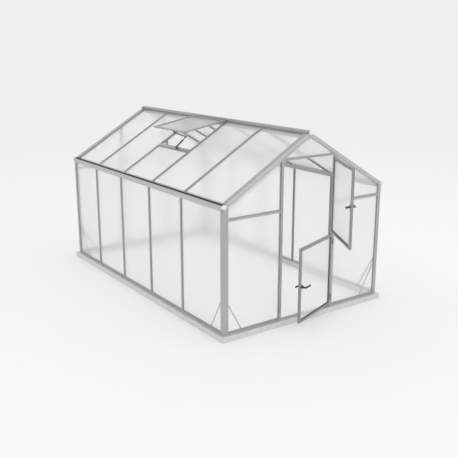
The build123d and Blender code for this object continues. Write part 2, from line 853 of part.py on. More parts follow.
leaves = {
    "lower": (lower_bottom, lower_top, lower_handle_z, lower_open),
    "upper": (upper_bottom, upper_top, upper_handle_z, upper_open),
}
for name, (bottom, top, handle_z, angle) in leaves.items():
    save(swing(leaf_stiles(bottom, top), angle), f"{name}_leaf_stiles")
    save(swing(leaf_rails(bottom, top), angle), f"{name}_leaf_rails")
    save(swing(leaf_sheet(bottom, top, handle_z), angle), f"{name}_leaf_sheet")
    save(swing(leaf_hinges(bottom, top), angle), f"{name}_leaf_hinges")
    save(swing(handle_roses(handle_z), angle), f"{name}_handle_roses")
    save(swing(lever_pair(handle_z), angle), f"{name}_levers")


# Roof vent: sill between two bars, and a sash that hangs on a bead in the ridge channel
vent_bars = (bar_places[vent_bay_count - 1], bar_places[vent_bay_count])
sill_low = vent_sill_top + vent_sill_width
with BuildPart() as vent_sill_right:
    with BuildSketch(slope_plane(sill_low, vent_bars[0] + cap_width / 2)):
        Rectangle(bay - cap_width, seat_depth + flange, align=(Align.MIN, Align.MIN))
    extrude(amount=vent_sill_width)
    with BuildSketch(slope_plane(sill_low, vent_bars[0])):
        with Locations((0, cap_height)):
            Rectangle(bay, groove, align=(Align.MIN, Align.MIN))
    extrude(amount=groove_reach, mode=Mode.SUBTRACT)
vent_sill = mirrored(vent_sill_right, Plane.YZ)
save(vent_sill, "vent_sill")

tilt = math.radians(vent_tilt)
bead_x = -(crown_neck + bead_play + hinge_bead)
bead_z = ridge_height + bead_height
vent_from = vent_bars[0] - vent_overlap
vent_to = vent_bars[1] + vent_overlap
vent_face = vent_thick / 2


def on_sash(out, up):
    """A point of the open sash: distance out from its hinge bead, height over its middle plane."""
    x = bead_x - out * math.cos(tilt) - up * math.sin(tilt)
    z = bead_z - out * math.sin(tilt) + up * math.cos(tilt)
    return (x, z)


def sash_plane(out, y):
    """A plane square to the sash: its X runs along +Y and its Y runs down."""
    x, z = on_sash(out, 0)
    return Plane(origin=(x, y, z), x_dir=(0, 1, 0), z_dir=(-math.cos(tilt), 0, -math.sin(tilt)))


def sash_quad(out_from, out_to, up_from, up_to):
    """Corners of a rectangle in the sash's section."""
    return [
        on_sash(out_from, up_from),
        on_sash(out_to, up_from),
        on_sash(out_to, up_to),
        on_sash(out_from, up_to),
    ]


with BuildPart() as vent_side_rails:
    with BuildSketch(sash_plane(vent_start, vent_from)):
        span = vent_to - vent_from
        with Locations((vent_bar / 2, 0), (span - vent_bar / 2, 0)):
            Rectangle(vent_bar, vent_thick)
        with Locations((vent_bar, 0)):
            Rectangle(vent_groove, groove, align=(Align.MAX, Align.CENTER), mode=Mode.SUBTRACT)
        with Locations((span - vent_bar, 0)):
            Rectangle(vent_groove, groove, align=(Align.MIN, Align.CENTER), mode=Mode.SUBTRACT)
    extrude(amount=vent_length - vent_start)
save(vent_side_rails, "vent_side_rails")

rail_from = vent_from + vent_bar
rail_span = vent_to - vent_from - 2 * vent_bar
top_rail_out = vent_start + vent_bar
low_rail_out = vent_length - vent_bar
with BuildPart() as vent_cross_rails:
    with BuildSketch(Plane.XZ.offset(-rail_from)):
        with BuildLine():
            Polyline(*sash_quad(vent_start, top_rail_out, -vent_face, vent_face), close=True)
        make_face()
        with BuildLine():
            Polyline(*sash_quad(low_rail_out, vent_length, -vent_face, vent_face), close=True)
        make_face()
        with BuildLine():
            Polyline(*sash_quad(0, vent_start, -hinge_bead / 2, hinge_bead / 2), close=True)
        make_face()
        with Locations((bead_x, bead_z)):
            Circle(hinge_bead)
        with BuildLine():
            groove_from = top_rail_out - vent_groove
            Polyline(*sash_quad(groove_from, top_rail_out, -groove / 2, groove / 2), close=True)
        make_face(mode=Mode.SUBTRACT)
        with BuildLine():
            groove_to = low_rail_out + vent_groove
            Polyline(*sash_quad(low_rail_out, groove_to, -groove / 2, groove / 2), close=True)
        make_face(mode=Mode.SUBTRACT)
    extrude(amount=-rail_span)
save(vent_cross_rails, "vent_cross_rails")

with BuildPart() as vent_sheet:
    reach = vent_groove - sheet_gap
    with BuildSketch(sash_plane(top_rail_out - reach, rail_from - reach)):
        with Locations((0, 0)):
            Rectangle(rail_span + 2 * reach, sheet, align=(Align.MIN, Align.CENTER))
    extrude(amount=low_rail_out - top_rail_out + 2 * reach - sheet_gap + sheet_play)
save(vent_sheet, "vent_sheet")


# Vent opener: bracket ears on the sill and the sash, a cylinder with its rod, and an arm
def towards(start, end, distance):
    """The point at this distance from start on the way to end, in the section."""
    run = math.dist(start, end)
    step = distance / run
    return (start[0] + (end[0] - start[0]) * step, start[1] + (end[1] - start[1]) * step)


sash_pin = on_sash(vent_length - sash_pin_inset, -sash_pin_drop)
arm_angle = math.radians(arm_fall)
elbow_pin = (sash_pin[0] + arm_length * math.cos(arm_angle), sash_pin[1] - arm_length * math.sin(arm_angle))
sill_pin_x, sill_pin_z = along_roof(vent_sill_top + sill_pin_inset, -sill_pin_rise)
sill_pin = (-sill_pin_x, sill_pin_z)
ear_round = link_width / 2
ear_out = ear_gap + ear_thick
pad_ends = (vent_sill_top + pad_inset, vent_sill_top + vent_sill_width - pad_inset)
sill_marks = [along_roof(distance, 0) for distance in pad_ends]
sill_seats = [along_roof(distance, -ear_thick) for distance in pad_ends]
sill_base = [(-x, z) for x, z in (*sill_marks, *reversed(sill_seats))]
sash_pad = (low_rail_out + sash_pad_in, vent_length - sash_pad_out)
sash_base = sash_quad(*sash_pad, -vent_face - ear_thick, -vent_face)
with BuildPart() as opener_brackets:
    for base, foot, pin in (
        (sill_base, sill_base[2:], sill_pin),
        (sash_base, sash_base[:2], sash_pin),
    ):
        with BuildSketch(Plane.XZ.offset(-(opener_y - ear_out))):
            with BuildLine():
                Polyline(*base, close=True)
            make_face()
        extrude(amount=-2 * ear_out)
        for y in (opener_y - ear_out, opener_y + ear_gap):
            with BuildSketch(Plane.XZ.offset(-y)):
                with Locations(pin):
                    Circle(ear_round)
                with BuildLine():
                    Polyline(*foot, towards(pin, foot[1], ear_round / 2), pin, close=True)
                make_face()
                with BuildLine():
                    Line(pin, towards(foot[0], foot[1], math.dist(*foot) / 2))
                trace(line_width=link_width)
            extrude(amount=-ear_thick)
save(opener_brackets, "opener_brackets")

with BuildPart() as vent_arm:
    with BuildSketch(Plane.XZ.offset(-(opener_y - arm_thick / 2))):
        with BuildLine():
            Line(sash_pin, elbow_pin)
        trace(line_width=link_width)
        with Locations(sash_pin, elbow_pin):
            Circle(ear_round)
        with Locations(elbow_pin):
            Circle(opener_pin + spindle_fit, mode=Mode.SUBTRACT)
    extrude(amount=-arm_thick)
    with BuildSketch(Plane.XZ.offset(-(opener_y - ear_gap))):
        with Locations(sash_pin):
            Circle(opener_pin)
    extrude(amount=-2 * ear_gap)
save(vent_arm, "opener_arm")

lift = math.dist(sill_pin, elbow_pin)
lift_dir = Vector(elbow_pin[0] - sill_pin[0], 0, elbow_pin[1] - sill_pin[1]).normalized()
body_start = towards(sill_pin, elbow_pin, opener_pin)
body_end = towards(sill_pin, elbow_pin, lift * cylinder_share)
rod_end = towards(sill_pin, elbow_pin, lift - clevis_depth)
with BuildPart() as opener_cylinder:
    with BuildSketch(Plane(origin=(body_start[0], opener_y, body_start[1]), z_dir=lift_dir)):
        Circle(cylinder_radius)
    extrude(amount=math.dist(body_start, body_end))
    with BuildSketch(Plane(origin=(body_end[0], opener_y, body_end[1]), z_dir=lift_dir)):
        Circle(opener_pin)
    extrude(amount=math.dist(body_end, rod_end))
    with BuildSketch(Plane.XZ.offset(-(opener_y - ear_gap))):
        with Locations(sill_pin):
            Circle(opener_pin)
    extrude(amount=-2 * ear_gap)
    with BuildSketch(Plane.XZ.offset(-(opener_y - eye_half))):
        with Locations(sill_pin):
            Circle(ear_round)
    extrude(amount=-2 * eye_half)
    fork_in = arm_thick / 2 + fork_play
    fork_out = fork_in + arm_thick
    with BuildSketch(Plane.XZ.offset(-(opener_y - fork_out))):
        with BuildLine():
            Line(towards(sill_pin, elbow_pin, lift - clevis_depth - arm_thick), rod_end)
        trace(line_width=link_width)
    extrude(amount=-2 * fork_out)
    for y in (opener_y - fork_out, opener_y + fork_in):
        with BuildSketch(Plane.XZ.offset(-y)):
            with BuildLine():
                Line(rod_end, elbow_pin)
            trace(line_width=link_width)
            with Locations(elbow_pin):
                Circle(ear_round)
        extrude(amount=-arm_thick)
    with BuildSketch(Plane.XZ.offset(-(opener_y - fork_out))):
        with Locations(elbow_pin):
            Circle(opener_pin)
    extrude(amount=-2 * fork_out)
save(opener_cylinder, "opener_cylinder")


# Ball caps: round plugs over the ends of the eaves and of the ridge, turned to keep their poles
# clear of the cuts that seat them on the posts and the verges
ball_cut = 3 * ball_radius
eave_ball_z = eave_underside + ball_over_eave
with BuildPart() as eave_cap:
    with Locations((half_width - ball_inset, 0, eave_ball_z)):
        Sphere(ball_radius, rotation=ball_turn)
    with Locations((half_width, 0, eave_ball_z)):
        Box(ball_cut, ball_cut, ball_cut, align=(Align.MAX, Align.MIN, Align.CENTER), mode=Mode.SUBTRACT)
    with Locations((half_width, wing_depth, eave_ball_z)):
        Box(ball_cut, ball_cut, ball_cut, align=(Align.CENTER, Align.MIN, Align.CENTER), mode=Mode.SUBTRACT)
verge_peak = ridge_height + verge_rise / math.cos(pitch)
with BuildPart() as ridge_cap:
    with Locations((0, 0, ridge_height + ball_over_ridge)):
        Sphere(ball_radius, rotation=ball_turn)
    with Locations((0, 0, verge_peak)):
        Box(ball_cut, ball_cut, ball_cut, align=(Align.CENTER, Align.MIN, Align.MAX), mode=Mode.SUBTRACT)
    with Locations((0, wing_depth, verge_peak)):
        Box(ball_cut, ball_cut, ball_cut, align=(Align.CENTER, Align.MIN, Align.CENTER), mode=Mode.SUBTRACT)
with BuildPart() as front_caps:
    add(eave_cap.part)
    mirror(eave_cap.part, about=Plane.YZ)
    add(ridge_cap.part)
save(with_mirror(front_caps, middle), "ball_caps")
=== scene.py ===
"""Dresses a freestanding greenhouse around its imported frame: frosted twin wall sheets,
extruded aluminium, a galvanised base, door furniture, a roof vent and a pale studio."""
from __future__ import annotations

import json
import logging
import math
from dataclasses import dataclass, replace
from enum import Enum
from typing import Sequence

import bpy
import numpy as np
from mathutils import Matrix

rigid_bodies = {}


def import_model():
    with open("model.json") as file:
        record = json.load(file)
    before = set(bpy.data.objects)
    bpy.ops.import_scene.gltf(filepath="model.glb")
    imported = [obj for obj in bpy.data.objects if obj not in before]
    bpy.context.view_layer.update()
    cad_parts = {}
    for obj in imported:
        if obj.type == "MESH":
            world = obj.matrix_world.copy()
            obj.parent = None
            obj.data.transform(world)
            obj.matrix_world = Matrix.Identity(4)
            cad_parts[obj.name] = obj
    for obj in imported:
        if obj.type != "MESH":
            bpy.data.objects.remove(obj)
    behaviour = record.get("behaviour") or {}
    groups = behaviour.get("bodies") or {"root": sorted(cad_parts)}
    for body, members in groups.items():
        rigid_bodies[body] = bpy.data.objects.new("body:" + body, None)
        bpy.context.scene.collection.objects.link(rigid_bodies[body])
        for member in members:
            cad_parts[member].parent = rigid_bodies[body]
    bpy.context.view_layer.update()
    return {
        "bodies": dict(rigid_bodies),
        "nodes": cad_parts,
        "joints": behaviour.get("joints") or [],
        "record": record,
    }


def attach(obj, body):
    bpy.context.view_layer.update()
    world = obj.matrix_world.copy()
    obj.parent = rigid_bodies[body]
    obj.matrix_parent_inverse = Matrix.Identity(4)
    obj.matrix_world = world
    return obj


LOG = logging.getLogger("greenhouse")
Array = np.ndarray
Mesh = tuple[Array, list[tuple[int, ...]]]
Colour = tuple[float, float, float]
Triple = tuple[float, float, float]
Outline = tuple[tuple[float, float], ...]

BEAD_STEPS = 6
STRIP_STEPS = 7
SEGMENTS = 14
UP = (0.0, 0.0, 1.0)
BACK = (0.0, 1.0, 0.0)


class Grain(Enum):
    """The way a section was drawn through its die, which its fine lines follow."""

    ALONG_X = "x"
    ALONG_Y = "y"
    ALONG_Z = "z"
    SLOPE = "slope"
    MIXED = "mixed"


@dataclass(frozen=True)
class HouseSizes:
    """Sizes of the house in metres and degrees, as in the solids.

    bars gives the middles of the glazing bars along the house. verge_leg is measured from the
    gables, and stop_in, trough_in and post_wing from the house's outer faces. ridge_lip and
    vent_foot are measured down the slope, and rail_low and rail_high upwards. post_in and
    post_out are the edges of a door post and of a back mullion from the middle.
    """

    half_width: float = 1.160
    length: float = 3.804
    ridge: float = 2.147
    pitch_deg: float = 30.45
    eave_drop: float = 0.034
    bars: tuple[float, ...] = (0.852, 1.590, 2.328, 3.066)
    cap_half: float = 0.014
    cap_depth: float = 0.0083
    sill_top: float = 0.088
    post_wing: float = 0.060
    ridge_lip: float = 0.030
    verge_leg: float = 0.078
    stop_in: float = 0.050
    trough_in: float = 0.044
    rail_low: float = 1.321
    rail_high: float = 1.347
    post_out: float = 0.405
    post_in: float = 0.371
    vent_bay: int = 2
    vent_foot: float = 0.690

    @property
    def pitch(self) -> float:
        """Roof pitch in radians."""
        return math.radians(self.pitch_deg)

    @property
    def eave(self) -> float:
        """Height of the wall head's underside."""
        return self.roof(self.half_width) - self.eave_drop

    def roof(self, x: float) -> float:
        """Height of the slope's outer plane at a distance from the middle."""
        return self.ridge - x * math.tan(self.pitch)


@dataclass(frozen=True)
class Place:
    """A frame of axes: an origin and three directions at right angles."""

    origin: Triple
    across: Triple
    along: Triple
    out: Triple

    def lay(self, points: Array) -> Array:
        """Carry points from this frame into the row frame.

        Args:
            points: N x 3 array measured across, along and out.

        Returns:
            N x 3 array: origin plus each measure times its direction.
        """
        axes = np.array([self.across, self.along, self.out], dtype=float)
        return np.asarray(self.origin, dtype=float) + points @ axes

    def at(self, across: float, along: float) -> Place:
        """The same axes at another point of the plane."""
        return replace(self, origin=tuple(self.lay(np.array([[across, along, 0.0]]))[0]))


def upright(point: Triple, out: Triple) -> Place:
    """A place on an upright face: along is up, and across is up crossed with out."""
    return Place(point, tuple(np.cross(UP, out)), UP, out)


def box(left: float, right: float, low: float, high: float) -> Outline:
    """Corners of a square-cornered opening, anticlockwise from the left one at low."""
    return (left, low), (right, low), (right, high), (left, high)


def as_faces(cells: Array) -> list[tuple[int, ...]]:
    """Rows of point numbers as faces."""
    return [tuple(cell) for cell in cells.tolist()]


def wrap_faces(rows: int, columns: int) -> list[tuple[int, ...]]:
    """Quads of a grid that closes on itself both ways.

    Point (i, j) has the number i * columns + j, and each cell joins it to the next row and the
    next column, counted round.

    Args:
        rows: points round the path.
        columns: points round the profile.

    Returns:
        One quad for each cell, with its corners in order.
    """
    i, j = np.meshgrid(np.arange(rows), np.arange(columns), indexing="ij")
    i2, j2 = (i + 1) % rows, (j + 1) % columns
    corners = [i * columns + j, i2 * columns + j, i2 * columns + j2, i * columns + j2]
    return as_faces(np.stack(corners, axis=-1).reshape(-1, 4))


def ring_faces(rings: int, segments: int) -> Array:
    """Quads between rings of points that lie one after another.

    Point k of ring i has the number i * segments + k, and k + 1 is counted round.

    Args:
        rings: number of rings.
        segments: points in each ring.

    Returns:
        One row of four point numbers for each quad.
    """
    i, k = np.meshgrid(np.arange(rings - 1), np.arange(segments), indexing="ij")
    after = (k + 1) % segments
    corners = [i * segments + k, i * segments + after, (i + 1) * segments + after,
               (i + 1) * segments + k]
    return np.stack(corners, axis=-1).reshape(-1, 4)


def fan_faces(hub: int, first: int, segments: int) -> Array:
    """Triangles that close a ring of points on one point.

    Args:
        hub: number of the point in the middle.
        first: number of the ring's first point.
        segments: points in the ring.

    Returns:
        One row of three point numbers for each triangle: hub, k and the next k round.
    """
    k = np.arange(segments)
    return np.stack([np.full(segments, hub), first + k, first + (k + 1) % segments], axis=-1)


def facing_out(mesh: Mesh) -> Mesh:
    """Turn a closed shell so that its faces point outwards.

    Each face is cut into a fan of triangles. The sum over them of one corner dotted with the
    cross product of the other two has the sign of the volume, which says which way round the
    shell is.

    Args:
        mesh: points and faces of a closed shell whose faces all turn the same way.

    Returns:
        The same shell, with every face reversed if it was inside out.
    """
    points, faces = mesh
    fans = np.array([(f[0], f[k], f[k + 1]) for f in faces for k in range(1, len(f) - 1)])
    a, b, c = (points[fans[:, corner]] for corner in range(3))
    volume = float(np.sum(a * np.cross(b, c)))
    return (points, faces) if volume > 0 else (points, [tuple(reversed(f)) for f in faces])


def bead_ring(outline: Outline, width: float, height: float, place: Place) -> Mesh:
    """A soft glazing bead round the inside of a convex opening.

    The profile is a half ellipse: inset = width * (1 - cos t) / 2 and rise = height * sin t,
    for t from 0 to pi. Each corner moves inwards by the inset times the sum of its two edge
    normals over one plus their dot product, which is the mitre of the two edges.

    Args:
        outline: corners of the opening, anticlockwise, in metres.
        width: how far the bead reaches into the opening.
        height: how far it stands out.
        place: where the opening lies.

    Returns:
        Points and faces of the closed ring.
    """
    corners = np.array(outline, dtype=float)
    edges = np.roll(corners, -1, axis=0) - corners
    edges /= np.linalg.norm(edges, axis=1, keepdims=True)
    inward = np.stack([-edges[:, 1], edges[:, 0]], axis=1)
    before = np.roll(inward, 1, axis=0)
    mitre = (before + inward) / (1 + np.sum(before * inward, axis=1, keepdims=True))
    t = np.linspace(0.0, math.pi, BEAD_STEPS)
    inset = width * (1 - np.cos(t)) / 2
    rise = height * np.sin(t)
    plane = corners[:, None, :] + mitre[:, None, :] * inset[None, :, None]
    lifted = np.broadcast_to(rise[None, :, None], plane.shape[:2] + (1,))
    points = np.concatenate([plane, lifted], axis=2).reshape(-1, 3)
    return facing_out((place.lay(points), wrap_faces(len(corners), len(t))))


def strip(width: float, height: float, start: float, stop: float, place: Place) -> Mesh:
    """A soft strip that runs straight, with its flat back on a wall.

    The profile is a half ellipse: across = -width * cos t / 2 and out = height * sin t, for t
    from 0 to pi, carried along the place's along axis and closed at both ends.

    Args:
        width: size of the flat back.
        height: how far the strip stands out.
        start: where it begins along the axis.
        stop: where it ends along the axis.
        place: the axis, with its origin on the middle of the back.

    Returns:
        Points and faces of the closed strip.
    """
    t = np.linspace(0.0, math.pi, STRIP_STEPS)
    outline = np.stack([-width * np.cos(t) / 2, np.zeros(len(t)), height * np.sin(t)], axis=1)
    along = np.array(BACK)
    points = np.concatenate([outline + start * along, outline + stop * along])
    count = len(t)
    caps = [tuple(reversed(range(count))), tuple(range(count, 2 * count))]
    return facing_out((place.lay(points), as_faces(ring_faces(2, count)) + caps))


def rings_of(radii: Array, heights: Array, segments: int) -> Array:
    """Rings of points about the Z axis: (r cos a, r sin a, h) at even steps of the angle a.

    Args:
        radii: radius r of each ring.
        heights: height h of each ring.
        segments: points in each ring.

    Returns:
        N x 3 array, ring after ring.
    """
    angles = np.arange(segments) * 2 * math.pi / segments
    grid = [np.outer(radii, np.cos(angles)), np.outer(radii, np.sin(angles)),
            np.repeat(heights[:, None], segments, axis=1)]
    return np.stack(grid, axis=-1).reshape(-1, 3)


def turned(profile: Outline, place: Place) -> Mesh:
    """A turned shape: radius and height of the profile carried round the out axis.

    Point (r, h) at angle a lies at (r cos a, r sin a, h). The first and last profile points
    are on the axis and become single poles.

    Args:
        profile: radius and height pairs from the bottom pole to the top pole.
        place: where the axis stands.

    Returns:
        Points and faces of the closed shape.
    """
    rim = np.array(profile[1:-1], dtype=float)
    count = len(rim)
    poles = np.array([[0.0, 0.0, profile[0][1]], [0.0, 0.0, profile[-1][1]]])
    points = np.concatenate([rings_of(rim[:, 0], rim[:, 1], SEGMENTS), poles])
    last, low = (count - 1) * SEGMENTS, count * SEGMENTS
    faces = as_faces(ring_faces(count, SEGMENTS))
    faces += as_faces(fan_faces(low, 0, SEGMENTS)[:, ::-1])
    faces += as_faces(fan_faces(low + 1, last, SEGMENTS))
    return facing_out((place.lay(points), faces))


def joined(parts: Sequence[Mesh]) -> Mesh:
    """Several shells as one mesh.

    Args:
        parts: the shells, each with its own point numbers.

    Returns:
        All the points, and all the faces with their point numbers moved on.
    """
    points, faces, start = [], [], 0
    for shell, quads in parts:
        points.append(shell)
        faces += [tuple(i + start for i in quad) for quad in quads]
        start += len(shell)
    return np.concatenate(points), faces


def add_piece(name: str, mesh: Mesh, finish: bpy.types.Material, body: str) -> None:
    """Put a smooth mesh in the scene and let it ride on a body.

    Args:
        name: the piece's name.
        mesh: its points and faces in the row frame.
        finish: its material.
        body: the body that carries it.
    """
    points, faces = mesh
    data = bpy.data.meshes.new(name)
    data.from_pydata(points.tolist(), [], faces)
    data.polygons.foreach_set("use_smooth", [True] * len(data.polygons))
    data.materials.append(finish)
    data.update()
    piece = bpy.data.objects.new(name, data)
    bpy.context.scene.collection.objects.link(piece)
    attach(piece, body)
    LOG.info("%s: %d faces on %s", name, len(faces), body)


class Nodes:
    """A small hand for laying out the nodes of one material or world."""

    def __init__(self, owner: bpy.types.Material | bpy.types.World, output: str) -> None:
        """Clear the owner's nodes and give it an output.

        Args:
            owner: the material or world.
            output: the output node's type name after ShaderNode.
        """
        self.owner = owner
        self.owner.use_nodes = True
        self.tree = owner.node_tree
        self.tree.nodes.clear()
        self.output = self.new(output)

    @classmethod
    def of_material(cls, name: str) -> Nodes:
        """The nodes of a new material."""
        return cls(bpy.data.materials.new(name), "OutputMaterial")

    def new(self, kind: str, **sockets: object) -> bpy.types.Node:
        """Add a node and fill its sockets.

        Args:
            kind: the node's type name after ShaderNode.
            sockets: values or output sockets by input name, with _ for a space; a name that is
                a property of the node is set on the node.

        Returns:
            The new node.
        """
        node = self.tree.nodes.new("ShaderNode" + kind)
        for key, value in sockets.items():
            if key.startswith("at"):
                target = node.inputs[int(key[2:])]
            elif key.replace("_", " ") in node.inputs:
                target = node.inputs[key.replace("_", " ")]
            else:
                setattr(node, key, value)
                continue
            if isinstance(value, bpy.types.NodeSocket):
                self.tree.links.new(value, target)
            else:
                target.default_value = value
        return node

    def math(self, operation: str, a: object, b: object = 0.0) -> bpy.types.NodeSocket:
        """One Math node's result."""
        return self.new("Math", operation=operation, at0=a, at1=b).outputs[0]

    def place(self, scale: Triple, turn: Triple = (0.0, 0.0, 0.0),
              folded: bool = False) -> bpy.types.NodeSocket:
        """Object coordinates, turned and then scaled.

        Args:
            scale: scale along each axis.
            turn: angles in radians about each axis.
            folded: take the size of X without its sign, so that both slopes match.

        Returns:
            The vector socket.
        """
        source = self.new("TexCoord").outputs["Object"]
        if folded:
            parts = self.new("SeparateXYZ", Vector=source)
            source = self.new("CombineXYZ", X=self.math("ABSOLUTE", parts.outputs[0]),
                              Y=parts.outputs[1], Z=parts.outputs[2]).outputs[0]
        turned_round = self.new("Mapping", vector_type="POINT", Vector=source, Rotation=turn)
        return self.new("Mapping", vector_type="POINT", Vector=turned_round.outputs[0],
                        Scale=scale).outputs[0]

    def noise(self, scale: Triple, detail: float) -> bpy.types.NodeSocket:
        """Noise on Object coordinates at this scale."""
        vector = self.place(scale)
        return self.new("TexNoise", Vector=vector, Scale=1.0, Detail=detail).outputs["Fac"]

    def blend(self, a: object, share: float, b: object) -> bpy.types.NodeSocket:
        """A share of one value plus the rest of another."""
        return self.math("ADD", self.math("MULTIPLY", a, share), self.math("MULTIPLY", b, 1.0 - share))

    def ramp(self, factor: bpy.types.NodeSocket, low: Colour, high: Colour,
             start: float = 0.3, stop: float = 0.7) -> bpy.types.NodeSocket:
        """A colour that runs from one to another.

        Args:
            factor: the value that it follows.
            low: colour up to the start.
            high: colour from the stop on.
            start: value at which it begins to run.
            stop: value at which it ends.

        Returns:
            The colour socket.
        """
        node = self.new("ValToRGB", Fac=factor)
        node.color_ramp.elements[0].position = start
        node.color_ramp.elements[0].color = (*low, 1.0)
        node.color_ramp.elements[1].position = stop
        node.color_ramp.elements[1].color = (*high, 1.0)
        return node.outputs["Color"]

    def span(self, factor: bpy.types.NodeSocket, low: float, high: float) -> bpy.types.NodeSocket:
        """A number that runs from low to high as the factor runs from 0 to 1."""
        return self.new("MapRange", Value=factor, To_Min=low, To_Max=high).outputs[0]

    def finish(self, shader: bpy.types.Node) -> bpy.types.Material | bpy.types.World:
        """Join the shader to the output and hand over the owner."""
        self.tree.links.new(shader.outputs[0], self.output.inputs["Surface"])
        return self.owner


def shades(colour: Colour, low: float, high: float) -> tuple[Colour, Colour]:
    """A colour times a low and a high factor, up to white."""
    return tuple(c * low for c in colour), tuple(min(c * high, 1.0) for c in colour)


@dataclass(frozen=True)
class ExtrudedAluminium:
    """Mill finish sections: fine die lines, faint clouding and soft gloss."""

    colour: Colour = (0.45, 0.452, 0.455)
    metallic: float = 0.75
    roughness: float = 0.42
    spread: float = 0.07
    shade: tuple[float, float] = (0.93, 1.05)
    die_lines: float = 420.0
    line_run: float = 3.0
    line_share: float = 0.5
    line_depth: float = 0.00012
    clouds: float = 2.2

    def make(self, name: str, grain: Grain, pitch: float) -> bpy.types.Material:
        """Build the material.

        Args:
            name: the material's name.
            grain: the way its die lines run.
            pitch: roof pitch in radians, for sections on the slope.

        Returns:
            The material.
        """
        nodes = Nodes.of_material(name)
        fine, slow = self.die_lines, self.line_run
        scales = {
            Grain.ALONG_X: (slow, fine, fine),
            Grain.ALONG_Y: (fine, slow, fine),
            Grain.ALONG_Z: (fine, fine, slow),
            Grain.SLOPE: (slow, fine, fine),
            Grain.MIXED: (fine / 4, fine / 4, fine / 4),
        }
        turn = (0.0, pitch, 0.0) if grain is Grain.SLOPE else (0.0, 0.0, 0.0)
        grained = nodes.place(scales[grain], turn, folded=grain is Grain.SLOPE)
        lines = nodes.new("TexNoise", Vector=grained, Scale=1.0, Detail=2.0, Roughness=0.6)
        lines = lines.outputs["Fac"]
        blend = nodes.blend(lines, self.line_share, nodes.noise((self.clouds,) * 3, detail=4.0))
        bump = nodes.new("Bump", Height=lines, Distance=self.line_depth, Strength=0.5)
        shader = nodes.new(
            "BsdfPrincipled",
            Base_Color=nodes.ramp(blend, *shades(self.colour, *self.shade)),
            Metallic=self.metallic,
            Roughness=nodes.span(blend, self.roughness - self.spread, self.roughness + self.spread),
            Normal=bump.outputs[0],
        )
        return nodes.finish(shader)


@dataclass(frozen=True)
class GalvanisedSteel:
    """Dipped steel with faint crystals of zinc and a matt bloom near the ground."""

    colour: Colour = (0.69, 0.691, 0.691)
    crystal: float = 38.0
    crystal_share: float = 0.35
    shade: tuple[float, float] = (0.92, 1.06)
    metallic: float = 0.55
    roughness: tuple[float, float] = (0.42, 0.58)
    bloom: Triple = (5.0, 5.0, 14.0)
    relief: float = 0.0003

    def make(self, name: str) -> bpy.types.Material:
        """Build the material.

        Args:
            name: the material's name.

        Returns:
            The material.
        """
        nodes = Nodes.of_material(name)
        cells = nodes.new("TexVoronoi", Vector=nodes.place((self.crystal,) * 3), Scale=1.0)
        tone = nodes.new("SeparateColor", Color=cells.outputs["Color"]).outputs[0]
        blend = nodes.blend(tone, self.crystal_share, nodes.noise(self.bloom, detail=5.0))
        bump = nodes.new("Bump", Height=blend, Distance=self.relief, Strength=0.25)
        shader = nodes.new(
            "BsdfPrincipled",
            Base_Color=nodes.ramp(blend, *shades(self.colour, *self.shade), start=0.25, stop=0.75),
            Metallic=self.metallic,
            Roughness=nodes.span(tone, *self.roughness),
            Normal=bump.outputs[0],
        )
        return nodes.finish(shader)


@dataclass(frozen=True)
class FrostedSheet:
    """Twin wall polycarbonate: frosted skins over a row of narrow flutes."""

    tint: Colour = (0.944, 0.955, 0.944)
    roughness: float = 0.24
    spread: float = 0.03
    ior: float = 1.12
    clearness: float = 0.80
    shade: tuple[float, float] = (0.985, 1.01)
    open_tint: Colour = (0.995, 0.998, 0.995)
    flute: float = 0.0105
    flute_depth: float = 0.0004
    frost: float = 900.0
    frost_depth: float = 0.00006
    haze: Triple = (1.3, 1.3, 0.8)

    def make(self, name: str, turn: float) -> bpy.types.Material:
        """Build the material.

        Args:
            name: the material's name.
            turn: the angle about Z from +X to the way the flutes follow each other.

        Returns:
            The material.
        """
        nodes = Nodes.of_material(name)
        turned_round = nodes.place((1.0, 1.0, 1.0), (0.0, 0.0, -turn))
        across = nodes.new("SeparateXYZ", Vector=turned_round).outputs[0]
        wave = nodes.math("SINE", nodes.math("MULTIPLY", across, 2 * math.pi / self.flute))
        wave = nodes.new("MapRange", Value=wave, From_Min=-1.0, From_Max=1.0).outputs[0]
        frost = nodes.noise((self.frost,) * 3, detail=2.0)
        haze = nodes.noise(self.haze, detail=3.0)
        flutes = nodes.new("Bump", Height=wave, Distance=self.flute_depth, Strength=0.6)
        bump = nodes.new("Bump", Height=frost, Distance=self.frost_depth, Strength=0.4,
                         Normal=flutes.outputs[0])
        shader = nodes.new(
            "BsdfPrincipled",
            Base_Color=nodes.ramp(haze, *shades(self.tint, *self.shade)),
            Roughness=nodes.span(wave, self.roughness - self.spread, self.roughness + self.spread),
            IOR=self.ior,
            Transmission_Weight=self.clearness,
            Normal=bump.outputs[0],
        )
        open_way = nodes.new("BsdfTransparent", Color=(*self.open_tint, 1.0))
        path = nodes.new("LightPath")
        for ray in ("Is Shadow Ray", "Is Diffuse Ray"):
            shader = nodes.new("MixShader", at0=path.outputs[ray], at1=shader.outputs[0],
                               at2=open_way.outputs[0])
        return nodes.finish(shader)


